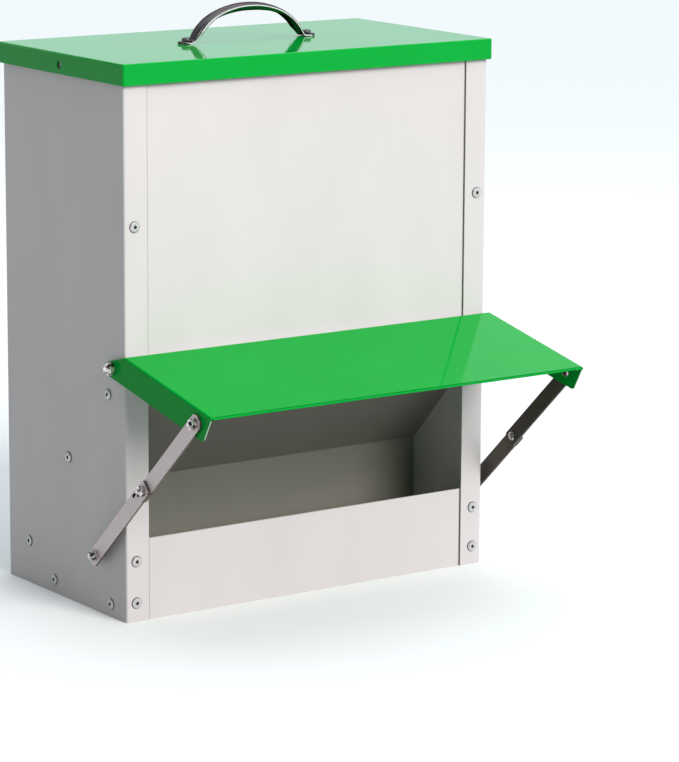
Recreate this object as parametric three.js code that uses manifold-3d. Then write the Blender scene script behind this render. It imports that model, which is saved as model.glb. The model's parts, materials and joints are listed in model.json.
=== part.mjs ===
// Gravity poultry feeder: a riveted sheet-metal hopper with a lift-off lid and a rain hood that
// folds down over the trough on a pair of two-bar stays.
//
// Frame: origin on the ground under the middle of the housing, +X to the right, the trough faces -Y,
// +Z up. Millimetres. Every left-hand piece is built at negative x, and the right-hand one mirrors it.

import * as THREE from "three";
import { mergeVertices } from "three/addons/utils/BufferGeometryUtils.js";
import Module from "manifold-3d";

const wasm = await Module();
wasm.setup();

// ---- Driving dimensions ----

const WIDTH = 300; // housing, outside
const DEPTH = 160;
const HEIGHT = 381; // to the top of the lid
const SHEET = 0.8;
const GAP = 0.3; // between pieces that touch
const BEND = 0.7; // inside radius of a fold

const FLANGE = 18; // front and rear flanges of the side panels
const MOUTH_TOP = 162; // lower edge of the front panel
const TROUGH_HEIGHT = 57;
const THROAT = 22; // height of the feed gap under the baffle
const FLOOR_FLANGE = 18.5;
const FLOOR_LIP = 10; // at the front and rear of the floor
const HEM_THICKNESS = 2.2; // of the folded top edge of the trough
const HEM_DEPTH = 8;

const LID = { sideOverhang: 2.2, frontOverhang: 3.4, skirt: 14.6, corner: 1.6, rearCorner: 4 };
const LID_HOLE = { z: 372.4, radius: 2.75 };
const HANDLE = { rise: 26.5, foot: 50.2, footRadius: 6, width: 12, thickness: 3 };

const HOOD = { slope: 11.5, length: 109.5, halfWidth: 153, ear: 19.6, hem: 7 };

// Heights and distances behind the housing's front face, as [y, z].
const behindFront = (distance, z) => [-DEPTH / 2 + distance, z];
const HOOD_BACK = behindFront(-4.4, 185); // upper rear edge of the hood's plate
const HOOD_PIVOT = behindFront(11.5, 175);
const EAR_PIVOT = behindFront(-93.5, 156.5);
const WALL_PIVOT = behindFront(30.3, 42.2);
const BAFFLE_FOOT = behindFront(82, 78.5);
const RAMP_TOE = 88; // behind the front face

const STAY = { halfWidth: 5.8, thickness: 1.5, lowerLength: 84.4 };
const PIVOT_RADIUS = 2;
const HOOD_BOLT_RADIUS = 2.5;
const RIVET = { shank: 1.95, head: 4, height: 1, depth: 4.5 };

const RIVET_X = 142.1; // rivets of the front and rear flanges
const FRONT_RIVETS = [13.2, 42.3, 271.7];
const REAR_RIVETS = [14, 190, 350];
const SIDE_RIVETS = [
  behindFront(22, 155.3),
  behindFront(75.5, 101.6),
  behindFront(131, 30.6),
  behindFront(96.4, 9.7),
  behindFront(20.4, 9.3),
]; // two in the baffle, one in the rear ramp, two in the floor

// ---- Derived sizes ----

const HALF = WIDTH / 2;
const FRONT = -DEPTH / 2;
const REAR = DEPTH / 2;
const WALL_INSIDE = HALF - SHEET; // inner face of a side panel
const PANEL_FACE = REAR - SHEET - GAP; // outer face of a panel behind the flanges
const PANEL_BACK = PANEL_FACE - SHEET;
const FITTED = WALL_INSIDE - GAP; // half width of what fits between the side panels
const BODY_TOP = HEIGHT - SHEET - 0.7;
const SKIRT_BOTTOM = HEIGHT - LID.skirt;

// Planes of the folding gear, measured outwards from the middle of the feeder.
const EAR_IN = HOOD.halfWidth - SHEET;
const UPPER_IN = HOOD.halfWidth + GAP;
const UPPER_OUT = UPPER_IN + STAY.thickness;
const LOWER_IN = UPPER_OUT + GAP;
const LOWER_OUT = LOWER_IN + STAY.thickness;

const EAR_TO_WALL = Math.hypot(EAR_PIVOT[0] - WALL_PIVOT[0], EAR_PIVOT[1] - WALL_PIVOT[1]);
const ELBOW = [0, 1].map(
  (i) => WALL_PIVOT[i] + ((EAR_PIVOT[i] - WALL_PIVOT[i]) * STAY.lowerLength) / EAR_TO_WALL,
);
const UPPER_LENGTH = EAR_TO_WALL - STAY.lowerLength;

// ---- Materials ----

const paint = (color, roughness, metalness) =>
  new THREE.MeshStandardMaterial({ color, roughness, metalness });
const housingGrey = () => paint(0xd9d6d2, 0.45, 0.2);
const feederGreen = () => paint(0x14b64a, 0.2, 0.0);
const chrome = () => paint(0xcfd2d4, 0.12, 1.0);
const nickel = () => paint(0xa59a98, 0.35, 0.9);
const aluminium = () => paint(0xc9c8c6, 0.4, 0.8);

// ---- Solids ----

// A closed three.js geometry as a solid for cutting and joining.
function solid(geometry) {
  const bare = geometry.clone();
  bare.deleteAttribute("normal");
  bare.deleteAttribute("uv");
  const merged = mergeVertices(bare, 1e-4);
  return new wasm.Manifold(
    new wasm.Mesh({
      numProp: 3,
      vertProperties: merged.attributes.position.array,
      triVerts: new Uint32Array(merged.index.array),
    }),
  );
}

function geometryOf(manifold) {
  const mesh = manifold.getMesh();
  const geometry = new THREE.BufferGeometry();
  geometry.setAttribute("position", new THREE.BufferAttribute(mesh.vertProperties, 3));
  geometry.setIndex(new THREE.BufferAttribute(mesh.triVerts, 1));
  geometry.computeVertexNormals();
  return geometry;
}

const join = (parts) => parts.reduce((whole, part) => whole.add(part));
const cut = (whole, tools) => tools.reduce((left, tool) => left.subtract(tool), whole);

const shapeOf = (points) => new THREE.Shape(points.map(([u, v]) => new THREE.Vector2(u, v)));

// Turns that lay the extruded outline across each axis: (y, z) along x, (x, z) along y, (x, y) along z.
const ACROSS = {
  x: new THREE.Matrix4().set(0, 0, 1, 0, 1, 0, 0, 0, 0, 1, 0, 0, 0, 0, 0, 1),
  y: new THREE.Matrix4().set(1, 0, 0, 0, 0, 0, -1, 0, 0, 1, 0, 0, 0, 0, 0, 1),
  z: new THREE.Matrix4(),
};

// An outline swept along an axis between two values.
function prism(outline, axis, from, to) {
  const shape = outline instanceof THREE.Shape ? outline : shapeOf(outline);
  const geometry = new THREE.ExtrudeGeometry(shape, {
    depth: to - from,
    bevelEnabled: false,
    curveSegments: 5,
  });
  geometry.translate(0, 0, axis === "y" ? -to : from);
  return solid(geometry.applyMatrix4(ACROSS[axis]));
}

// A round bar along an axis, centred on a point.
function rod(axis, [x, y, z], radius, length, sides = 12) {
  const geometry = new THREE.CylinderGeometry(radius, radius, length, sides);
  if (axis === "x") geometry.rotateZ(Math.PI / 2);
  if (axis === "z") geometry.rotateX(Math.PI / 2);
  return solid(geometry.translate(x, y, z));
}

// A profile of [radius, height] pairs turned about the upright axis.
const turned = (profile) =>
  new THREE.LatheGeometry(profile.map(([r, h]) => new THREE.Vector2(r, h)), 12);

// The outline of a sheet folded along a polyline. The polyline is one face of the sheet, and the
// other face lies to its left. Every corner is a bend of the given inside radius.
function folded(corners, bend = BEND, thickness = SHEET) {
  const points = corners.map(([u, v]) => new THREE.Vector2(u, v));
  const left = (d) => new THREE.Vector2(-d.y, d.x);
  const face = [];
  const back = [];
  const place = (point, normal) => {
    face.push(point);
    back.unshift(point.clone().addScaledVector(normal, thickness));
  };
  const heading = (i) => points[i + 1].clone().sub(points[i]).normalize();
  place(points[0], left(heading(0)));
  for (let i = 1; i < points.length - 1; i++) {
    const before = heading(i - 1);
    const turn = Math.atan2(before.cross(heading(i)), before.dot(heading(i)));
    const radius = turn > 0 ? bend + thickness : bend;
    const start = points[i].clone().addScaledVector(before, -radius * Math.tan(Math.abs(turn) / 2));
    const centre = start.clone().addScaledVector(left(before), radius * Math.sign(turn));
    const steps = 3;
    for (let k = 0; k <= steps; k++) {
      const normal = left(before).rotateAround(new THREE.Vector2(), (turn * k) / steps);
      place(centre.clone().addScaledVector(normal, -radius * Math.sign(turn)), normal);
    }
  }
  place(points.at(-1), left(heading(points.length - 2)));
  return new THREE.Shape([...face, ...back]);
}

// A point s along the line from one [y, z] to another, and t to the left of it.
function along(from, to, s, t) {
  const length = Math.hypot(to[0] - from[0], to[1] - from[1]);
  const [dy, dz] = [(to[0] - from[0]) / length, (to[1] - from[1]) / length];
  return [from[0] + dy * s - dz * t, from[1] + dz * s + dy * t];
}

// ---- The assembly ----

const feeder = new THREE.Group();
const sides = { left: new THREE.Group(), right: new THREE.Group() };
sides.right.scale.x = -1;
feeder.add(sides.left, sides.right);

function place(group, name, manifold, material) {
  const mesh = new THREE.Mesh(geometryOf(manifold), material);
  mesh.name = name;
  group.add(mesh);
}

// The same piece on both sides, built for the left.
function placePair(name, manifold, material) {
  for (const side of ["left", "right"]) place(sides[side], `${side}_${name}`, manifold, material());
}

// ---- Housing ----

const RIVET_HOLE = RIVET.shank + GAP;
const sideHoles = () => SIDE_RIVETS.map(([y, z]) => rod("x", [-HALF, y, z], RIVET_HOLE, 20));
const bothSides = (tools) => [...tools, ...tools.map((tool) => tool.mirror([1, 0, 0]))];

// Holes for the flange rivets at the given heights, on the left and on the right.
const flangeHoles = (y, heights) =>
  bothSides(heights.map((z) => rod("y", [-RIVET_X, y, z], RIVET_HOLE, 12)));

function sidePanel() {
  const section = folded([
    [-HALF + FLANGE, REAR],
    [-HALF, REAR],
    [-HALF, FRONT],
    [-HALF + FLANGE, FRONT],
  ]);
  return cut(prism(section, "z", 0, BODY_TOP), [
    ...sideHoles(),
    ...flangeHoles(FRONT, FRONT_RIVETS),
    ...flangeHoles(REAR, REAR_RIVETS),
    rod("x", [-HALF, ...HOOD_PIVOT], HOOD_BOLT_RADIUS + GAP, 12),
    rod("x", [-HALF, ...WALL_PIVOT], PIVOT_RADIUS + GAP, 12),
  ]);
}

// A flat panel that fills the front or the rear between the flanges' backs.
function flatPanel(y, bottom, heights) {
  const half = FITTED - GAP;
  const sheet = prism(
    [
      [-half, bottom],
      [half, bottom],
      [half, BODY_TOP],
      [-half, BODY_TOP],
    ],
    "y",
    y,
    y + SHEET,
  );
  return cut(sheet, flangeHoles(y, heights));
}

function troughFront() {
  const hemFace = -PANEL_FACE + HEM_THICKNESS;
  const section = folded(
    [
      [hemFace, TROUGH_HEIGHT - HEM_DEPTH],
      [hemFace, TROUGH_HEIGHT],
      [-PANEL_FACE, TROUGH_HEIGHT],
      [-PANEL_FACE, 0],
    ],
    GAP,
  );
  const sheet = prism(section, "x", -FITTED + GAP, FITTED - GAP);
  return cut(sheet, flangeHoles(FRONT, FRONT_RIVETS.slice(0, 2)));
}

function floorPanel() {
  const length = PANEL_BACK - GAP;
  const across = folded([
    [-FITTED, FLOOR_FLANGE],
    [-FITTED, 0],
    [FITTED, 0],
    [FITTED, FLOOR_FLANGE],
  ]);
  const lengthways = folded([
    [-length, FLOOR_LIP],
    [-length, 0],
    [length, 0],
    [length, FLOOR_LIP],
  ]);
  const lipHalf = RIVET_X - 6;
  const tray = prism(across, "y", -length, length).add(prism(lengthways, "x", -lipHalf, lipHalf));
  return cut(tray, bothSides(sideHoles()));
}

// The sheet that the feed slides down runs behind the front panel, back over the trough, then down
// to the throat.
const BAFFLE_TOP = [-PANEL_BACK + GAP, MOUTH_TOP];
const FLANGE_WIDTH = 18;

// A side flange beside a slope, from s0 to s1 along it and turned off to one side, with cut corners.
function slopeFlange(from, to, s0, s1, turned, face) {
  const corner = FLANGE_WIDTH * 0.6;
  const outline = [
    along(from, to, s0, SHEET / 2),
    along(from, to, s1, SHEET / 2),
    along(from, to, s1 - corner, turned * FLANGE_WIDTH),
    along(from, to, s0 + corner, turned * FLANGE_WIDTH),
  ];
  return [prism(outline, "x", -face, -face + SHEET), prism(outline, "x", face - SHEET, face)];
}

function hopperBaffle() {
  const section = folded([
    [BAFFLE_TOP[0], MOUTH_TOP + 14],
    BAFFLE_TOP,
    BAFFLE_FOOT,
    [BAFFLE_FOOT[0], THROAT],
  ]);
  const slope = Math.hypot(BAFFLE_FOOT[0] - BAFFLE_TOP[0], BAFFLE_FOOT[1] - BAFFLE_TOP[1]);
  return cut(
    join([
      prism(section, "x", -FITTED, FITTED),
      ...slopeFlange(BAFFLE_TOP, BAFFLE_FOOT, 6, slope - 1, 1, FITTED),
    ]),
    bothSides(sideHoles()),
  );
}

function rearRamp() {
  const toe = behindFront(RAMP_TOE, SHEET + GAP);
  const head = [PANEL_BACK - GAP, PANEL_BACK - GAP - toe[0] + toe[1]];
  const section = folded([[toe[0] - 10, toe[1]], toe, head, [head[0], head[1] + 14]]);
  const half = FITTED - SHEET - GAP;
  return cut(
    join([
      prism(section, "x", -half, half),
      ...slopeFlange(toe, head, 27, 92, -1, half),
    ]),
    bothSides(sideHoles()),
  );
}

placePair("side_panel", sidePanel(), housingGrey);
place(feeder, "back_panel", flatPanel(PANEL_BACK, 0, REAR_RIVETS), housingGrey());
place(feeder, "front_panel", flatPanel(-PANEL_FACE, MOUTH_TOP, FRONT_RIVETS.slice(2)), housingGrey());
place(feeder, "trough_front", troughFront(), housingGrey());
place(feeder, "floor_panel", floorPanel(), housingGrey());
place(feeder, "hopper_baffle", hopperBaffle(), housingGrey());
place(feeder, "rear_ramp", rearRamp(), housingGrey());

// ---- Rivets ----

// A blind rivet that points up, its head's underside just above the sheet, with its hollow middle.
function rivet() {
  const profile = [
    [0, -RIVET.depth],
    [RIVET.shank, -RIVET.depth],
    [RIVET.shank, GAP],
    [RIVET.head, GAP],
    [RIVET.head - 0.5, GAP + 0.6],
    [1.2, GAP + RIVET.height],
    [1.1, GAP + 0.4],
    [0, GAP + 0.4],
  ];
  return turned(profile);
}

const toFront = (geometry) => geometry.rotateZ(Math.PI);
const toLeft = (geometry) => geometry.rotateZ(Math.PI / 2);

FRONT_RIVETS.forEach((z, i) => {
  const shape = toFront(rivet()).translate(-RIVET_X, FRONT, z);
  placePair(`front_rivet_${i + 1}`, solid(shape), aluminium);
});
REAR_RIVETS.forEach((z, i) => {
  const shape = rivet().translate(-RIVET_X, REAR, z);
  placePair(`rear_rivet_${i + 1}`, solid(shape), aluminium);
});
SIDE_RIVETS.forEach(([y, z], i) => {
  const shape = toLeft(rivet()).translate(-HALF, y, z);
  placePair(`side_rivet_${i + 1}`, solid(shape), aluminium);
});

// ---- Lid and handle ----

function roundedRectangle(halfX, halfY, radius) {
  const shape = new THREE.Shape();
  shape.moveTo(halfX, -halfY + radius);
  shape.absarc(halfX - radius, halfY - radius, radius, 0, Math.PI / 2);
  shape.absarc(-halfX + radius, halfY - radius, radius, Math.PI / 2, Math.PI);
  shape.absarc(-halfX + radius, -halfY + radius, radius, Math.PI, 1.5 * Math.PI);
  shape.absarc(halfX - radius, -halfY + radius, radius, 1.5 * Math.PI, 2 * Math.PI);
  return shape;
}

// What is cut from the lower rear corner of the lid's skirt to round it.
function rearCornerCut(rear) {
  const r = LID.rearCorner;
  const shape = new THREE.Shape();
  shape.moveTo(rear + 1, SKIRT_BOTTOM - 1);
  shape.lineTo(rear + 1, SKIRT_BOTTOM + r);
  shape.lineTo(rear, SKIRT_BOTTOM + r);
  shape.absarc(rear - r, SKIRT_BOTTOM + r, r, 0, -Math.PI / 2, true);
  shape.lineTo(rear - r, SKIRT_BOTTOM - 1);
  return prism(shape, "x", -WIDTH, WIDTH);
}

function lidCover() {
  const halfX = HALF + LID.sideOverhang;
  const halfY = REAR + LID.frontOverhang;
  const outside = roundedRectangle(halfX, halfY, LID.corner);
  const inside = roundedRectangle(halfX - SHEET, halfY - SHEET, LID.corner - SHEET);
  return cut(prism(outside, "z", SKIRT_BOTTOM, HEIGHT), [
    prism(inside, "z", SKIRT_BOTTOM - 1, HEIGHT - SHEET),
    rearCornerCut(halfY),
    rod("x", [0, 0, LID_HOLE.z], LID_HOLE.radius, 2 * WIDTH, 16),
    ...[-1, 1].map((s) => rod("z", [s * HANDLE.foot, 0, HEIGHT], PIVOT_RADIUS + GAP, 8)),
  ]);
}

// The bow's upper face, from one foot over the top to the other.
const BOW = [
  [-46.4, 2.2],
  [-42.4, 7.6],
  [-31, 18],
  [-16.5, 24.4],
  [0, HANDLE.rise],
  [16.5, 24.4],
  [31, 18],
  [42.4, 7.6],
  [46.4, 2.2],
];

function lidHandle() {
  const bow = new THREE.SplineCurve(BOW.map(([x, z]) => new THREE.Vector2(x, HEIGHT + z)));
  const outer = bow.getPoints(24);
  const inner = outer.map((point, i) => {
    const tangent = bow.getTangent(i / 24);
    const inwards = new THREE.Vector2(tangent.y, -tangent.x);
    return point.clone().addScaledVector(inwards, HANDLE.thickness);
  });
  const arch = new THREE.Shape([...outer.reverse(), ...inner]);
  const strap = prism(arch, "y", -HANDLE.width / 2, HANDLE.width / 2);
  const foot = (s) => rod("z", [s * HANDLE.foot, 0, HEIGHT + GAP + 1], HANDLE.footRadius, 2, 20);
  const below = prism(roundedRectangle(HALF, REAR, 1), "z", HEIGHT - 20, HEIGHT + GAP);
  return cut(join([strap, foot(-1), foot(1)]), [
    below,
    ...[-1, 1].map((s) => rod("z", [s * HANDLE.foot, 0, HEIGHT], PIVOT_RADIUS + GAP, 8)),
  ]);
}

// An upright hexagonal prism that stands on the given height.
function hexagon(acrossFlats, bottom, thickness) {
  const radius = acrossFlats / Math.sqrt(3);
  const body = new THREE.CylinderGeometry(radius, radius, thickness, 6);
  return solid(body.translate(0, bottom + thickness / 2, 0));
}

// A hexagonal nut bored for a bolt of the given radius.
const nut = (radius, acrossFlats, bottom, thickness) =>
  hexagon(acrossFlats, bottom, thickness).subtract(rod("y", [0, bottom, 0], radius + GAP, 20));

const upright = (geometry) => geometry.rotateX(Math.PI / 2);

function handleScrew() {
  const seat = 2 * GAP + 2; // the foot is 2 thick
  const screw = turned([
    [0, -7],
    [PIVOT_RADIUS, -7],
    [PIVOT_RADIUS, seat],
    [3.8, seat],
    [3.4, seat + 1.2],
    [1.8, seat + 2],
    [0, seat + 2],
  ]);
  return solid(upright(screw).translate(-HANDLE.foot, 0, HEIGHT));
}

function handleNut() {
  const thickness = 3;
  return nut(PIVOT_RADIUS, 7, -SHEET - GAP - thickness, thickness)
    .rotate([90, 0, 0])
    .translate([-HANDLE.foot, 0, HEIGHT]);
}

place(feeder, "lid_cover", lidCover(), feederGreen());
place(feeder, "lid_handle", lidHandle(), chrome());
placePair("handle_screw", handleScrew(), chrome);
placePair("handle_nut", handleNut(), nickel);

// ---- Rain hood ----

const SLOPE = THREE.MathUtils.degToRad(HOOD.slope);

// A point of the hood's side view: u forwards from the rear edge of the plate, v above its upper face.
const onHood = (u, v) => [
  HOOD_BACK[0] - u * Math.cos(SLOPE) - v * Math.sin(SLOPE),
  HOOD_BACK[1] - u * Math.sin(SLOPE) + v * Math.cos(SLOPE),
];

// The side view of the hood: the plate on top, the ear below it, reaching back round the pivot.
const HOOD_OUTLINE = [
  [0, 0],
  [-19, -9.6],
  [-23.6, -13.4],
  [-24.8, -16.8],
  [-23.4, -19.2],
  [-20.4, -HOOD.ear],
  [HOOD.length - 10, -HOOD.ear],
  [HOOD.length - 6.6, -HOOD.ear + 1.4],
  [HOOD.length - 5, -HOOD.ear + 4.6],
  [HOOD.length - 1, -2.4],
  [HOOD.length, 0],
];

function rainHood() {
  const span = HOOD.halfWidth;
  const folds = folded([
    [span, -30],
    [span, 0],
    [-span, 0],
    [-span, -30],
  ]);
  const channel = prism(folds, "y", -200, 60)
    .rotate([HOOD.slope, 0, 0])
    .translate([0, ...HOOD_BACK]);
  const outline = HOOD_OUTLINE.map(([u, v]) => onHood(u, v));
  const behind = [onHood(0, 10), onHood(0, -4), onHood(-40, -4), onHood(-40, 10)];
  const hem = [
    onHood(HOOD.length - HOOD.hem, -SHEET / 2),
    onHood(HOOD.length - HOOD.hem, -2.1),
    onHood(HOOD.length - 1, -2.1),
    onHood(HOOD.length, -1.4),
    onHood(HOOD.length, -SHEET / 2),
  ];
  const inside = EAR_IN - GAP;
  return cut(
    join([
      channel.intersect(prism(outline, "x", -span, span)).subtract(prism(behind, "x", -EAR_IN, EAR_IN)),
      prism(hem, "x", -inside - GAP - SHEET / 2, inside + GAP + SHEET / 2),
    ]),
    bothSides([
      rod("x", [-span, ...HOOD_PIVOT], HOOD_BOLT_RADIUS + GAP, 6, 16),
      rod("x", [-span, ...EAR_PIVOT], PIVOT_RADIUS + GAP, 6),
    ]),
  );
}

place(feeder, "rain_hood", rainHood(), feederGreen());

// ---- Folding stays ----

// A flat bar between two pivots, with its own outline past each of them.
function stay(from, to, outline, face, holes) {
  const edge = outline.map(([s, t]) => along(from, to, s, t));
  const bored = holes.map((s) => rod("x", [-face, ...along(from, to, s, 0)], PIVOT_RADIUS + GAP, 6));
  return cut(prism(edge, "x", -face - STAY.thickness, -face), bored);
}

function lowerStay() {
  const w = STAY.halfWidth;
  const end = STAY.lowerLength + 6.5;
  const outline = [
    [-8, -w + 3],
    [-5, -w],
    [end - 1.5, -w],
    [end, -w + 1.5],
    [end, w - 1.5],
    [end - 1.5, w],
    [-5, w],
    [-8, w - 3],
  ];
  const bar = stay(WALL_PIVOT, ELBOW, outline, LOWER_IN, [0, STAY.lowerLength]);
  // A patch of the bar from s0 to s1 along it and t0 to t1 across it, between two planes.
  const patch = ([s0, s1], [t0, t1], inner, outer) => {
    const corners = [
      [s0, t0],
      [s1, t0],
      [s1, t1],
      [s0, t1],
    ];
    return prism(corners.map(([s, t]) => along(WALL_PIVOT, ELBOW, s, t)), "x", -outer, -inner);
  };
  const elbow = STAY.lowerLength;
  const notch = patch([elbow - 13.5, elbow - 8.5], [-w + 1, -w + 3.4], LOWER_IN + 0.6, LOWER_OUT + 1);
  const tab = patch([elbow - 5.3, elbow + 5], [w - STAY.thickness, w], LOWER_IN, LOWER_OUT + 0.8);
  return bar.add(tab).subtract(notch);
}

function upperStay() {
  const w = STAY.halfWidth;
  const end = UPPER_LENGTH + 6;
  const outline = [
    [-6.5, -w],
    [end - 3, -w],
    [end, -w + 3],
    [end, w - 3],
    [end - 3, w],
    [-6.5, w],
  ];
  return stay(ELBOW, EAR_PIVOT, outline, UPPER_IN, [0, UPPER_LENGTH]);
}

placePair("upper_stay", upperStay(), nickel);
placePair("lower_stay", lowerStay(), nickel);

// ---- Pivot fasteners ----

// Heights are distances outwards from the middle of the feeder, so the profile is laid along -x.
const outwards = (profile, [y, z]) => solid(toLeft(turned(profile)).translate(0, y, z));

// A pan-headed bolt whose head bears on an inner face, with an optional collar outside the wall.
function bolt(pivot, radius, headFace, end, head, collar = []) {
  const seat = headFace - GAP;
  return outwards(
    [
      [0, seat - head.height],
      [head.radius - 0.8, seat - head.height],
      [head.radius, seat - head.height * 0.6],
      [head.radius, seat],
      [radius, seat],
      ...collar,
      [radius, end - 0.5],
      [radius - 0.5, end],
      [0, end],
    ],
    pivot,
  );
}

const pivotNut = ([y, z], radius, acrossFlats, face, thickness) =>
  nut(radius, acrossFlats, face + GAP, thickness)
    .rotate([0, 0, 90])
    .translate([0, y, z]);

const PAN = { radius: 3.8, height: 2.2 };
const LOW = { radius: 3.8, height: 1.4 }; // fits between the hood's ear and the wall
const NUT = { flats: 7, thickness: 3.2 };
const HOOD_NUT = { flats: 8, thickness: 4 };
const STUD = 1.3; // bolt end past its nut

const hoodNutEnd = HOOD.halfWidth + GAP + HOOD_NUT.thickness + 1.8;
placePair(
  "hood_bolt",
  bolt(HOOD_PIVOT, HOOD_BOLT_RADIUS, WALL_INSIDE, hoodNutEnd, { radius: 4.6, height: 2.6 }),
  nickel,
);
placePair(
  "hood_washer",
  cut(rod("x", [-(HALF + EAR_IN) / 2, ...HOOD_PIVOT], 5, EAR_IN - HALF - 2 * GAP, 16), [
    rod("x", [-HALF, ...HOOD_PIVOT], HOOD_BOLT_RADIUS + GAP, 12),
  ]),
  nickel,
);
placePair(
  "hood_nut",
  pivotNut(HOOD_PIVOT, HOOD_BOLT_RADIUS, HOOD_NUT.flats, HOOD.halfWidth, HOOD_NUT.thickness),
  nickel,
);

// The ear's screw ends at the ear's face, and its threaded end stays with the upper stay's nut.
const earScrew = [
  [0, EAR_IN - GAP - LOW.height],
  [LOW.radius - 0.8, EAR_IN - GAP - LOW.height],
  [LOW.radius, EAR_IN - GAP],
  [PIVOT_RADIUS, EAR_IN - GAP],
  [PIVOT_RADIUS, HOOD.halfWidth],
  [0, HOOD.halfWidth],
];
const studEnd = UPPER_OUT + GAP + NUT.thickness + STUD;
const stud = rod("x", [-(UPPER_IN + studEnd) / 2, ...EAR_PIVOT], PIVOT_RADIUS, studEnd - UPPER_IN);
const earNut = hexagon(NUT.flats, UPPER_OUT + GAP, NUT.thickness).rotate([0, 0, 90]);
placePair("ear_screw", outwards(earScrew, EAR_PIVOT), nickel);
placePair("ear_nut", stud.add(earNut.translate([0, ...EAR_PIVOT])), nickel);

const COLLAR_RADIUS = 4.5;
const collar = [
  [PIVOT_RADIUS, HALF + GAP],
  [COLLAR_RADIUS, HALF + GAP],
  [COLLAR_RADIUS, LOWER_IN - GAP],
  [PIVOT_RADIUS, LOWER_IN - GAP],
];
placePair(
  "wall_bolt",
  bolt(WALL_PIVOT, PIVOT_RADIUS, WALL_INSIDE, LOWER_OUT + GAP + NUT.thickness + STUD, PAN, collar),
  nickel,
);
placePair("wall_nut", pivotNut(WALL_PIVOT, PIVOT_RADIUS, NUT.flats, LOWER_OUT, NUT.thickness), nickel);

placePair(
  "elbow_bolt",
  bolt(ELBOW, PIVOT_RADIUS, UPPER_IN, LOWER_OUT + GAP + NUT.thickness + STUD, LOW),
  nickel,
);
placePair("elbow_nut", pivotNut(ELBOW, PIVOT_RADIUS, NUT.flats, LOWER_OUT, NUT.thickness), nickel);

export default feeder;
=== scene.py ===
"""Gravity poultry feeder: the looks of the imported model.

Metres, in the frame of the CAD: +X right, the trough faces -Y, +Z up, origin on the ground.
Every left-hand piece is made at negative x, and the right-hand one mirrors it.
"""

import json
import math

import bmesh
import bpy
from mathutils import Matrix, Vector


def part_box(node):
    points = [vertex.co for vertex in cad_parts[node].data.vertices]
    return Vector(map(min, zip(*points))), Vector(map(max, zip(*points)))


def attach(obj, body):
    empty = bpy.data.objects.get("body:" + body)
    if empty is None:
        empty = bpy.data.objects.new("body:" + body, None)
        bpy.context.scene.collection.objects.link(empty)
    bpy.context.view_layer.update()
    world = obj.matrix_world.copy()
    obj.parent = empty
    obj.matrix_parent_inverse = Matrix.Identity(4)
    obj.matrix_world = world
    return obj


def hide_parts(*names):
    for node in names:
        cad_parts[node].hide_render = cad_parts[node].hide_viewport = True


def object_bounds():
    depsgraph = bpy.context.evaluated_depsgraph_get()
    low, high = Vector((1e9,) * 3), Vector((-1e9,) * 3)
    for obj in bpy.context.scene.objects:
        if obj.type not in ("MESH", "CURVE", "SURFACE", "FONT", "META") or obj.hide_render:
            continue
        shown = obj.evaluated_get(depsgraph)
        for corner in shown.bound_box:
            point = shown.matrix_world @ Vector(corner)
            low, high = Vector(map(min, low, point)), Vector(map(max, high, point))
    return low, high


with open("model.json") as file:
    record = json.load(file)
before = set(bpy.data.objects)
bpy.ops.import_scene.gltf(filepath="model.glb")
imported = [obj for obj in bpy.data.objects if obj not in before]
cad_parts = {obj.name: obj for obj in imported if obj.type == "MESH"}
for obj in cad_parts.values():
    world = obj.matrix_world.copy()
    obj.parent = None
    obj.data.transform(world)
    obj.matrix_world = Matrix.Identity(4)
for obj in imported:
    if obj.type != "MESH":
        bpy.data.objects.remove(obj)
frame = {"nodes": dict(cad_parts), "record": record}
CAD_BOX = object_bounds()

MM = 0.001
TURN = 2 * math.pi
NOISE_RANGE = (0.3, 0.7)  # nearly all of a noise texture's values
SIDES = {"left": -1, "right": 1}
SHEET = 0.8 * MM


# ---- Meshes ----

def new_piece(name, vertices, faces, sharp_angle=35.0):
    mesh = bpy.data.meshes.new(name)
    mesh.from_pydata([tuple(v) for v in vertices], [], faces)
    mesh.validate()
    piece = bpy.data.objects.new(name, mesh)
    bpy.context.scene.collection.objects.link(piece)
    finish_shading(piece, sharp_angle)
    return piece


def finish_shading(piece, sharp_angle=35.0):
    piece.data.polygons.foreach_set("use_smooth", [True] * len(piece.data.polygons))
    piece.data.set_sharp_from_angle(angle=math.radians(sharp_angle))


def ring_faces(rows, columns, closed_rows=False):
    """Quads between rings of vertices that each close on themselves."""
    faces = []
    last = rows if closed_rows else rows - 1
    for i in range(last):
        a, b = i * columns, ((i + 1) % rows) * columns
        for j in range(columns):
            k = (j + 1) % columns
            faces.append((a + j, a + k, b + k, b + j))
    return faces


def lathe(name, profile, segments=32):
    """A solid of revolution about +Z. The profile is (radius, height) from one pole to the other."""
    rings = [p for p in profile if p[0] > 0]
    vertices = [
        (r * math.cos(TURN * j / segments), r * math.sin(TURN * j / segments), h)
        for r, h in rings
        for j in range(segments)
    ]
    faces = ring_faces(len(rings), segments)
    first, last = len(vertices), len(vertices) + 1
    vertices += [(0, 0, profile[0][1]), (0, 0, profile[-1][1])]
    end = (len(rings) - 1) * segments
    for j in range(segments):
        k = (j + 1) % segments
        faces.append((first, k, j))
        faces.append((last, end + j, end + k))
    return new_piece(name, vertices, faces)


def prism(name, outline, axis, start, stop):
    """An outline carried along an axis: (y, z) points along x, (x, z) along y and (x, y) along z."""
    place = {
        "x": lambda p, d: (d, p[0], p[1]),
        "y": lambda p, d: (p[0], d, p[1]),
        "z": lambda p, d: (p[0], p[1], d),
    }[axis]
    count = len(outline)
    vertices = [place(p, d) for d in (start, stop) for p in outline]
    faces = ring_faces(2, count)
    faces += [tuple(range(count))[::-1], tuple(range(count, 2 * count))]
    piece = new_piece(name, vertices, faces)
    recalculate(piece)
    return piece


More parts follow.
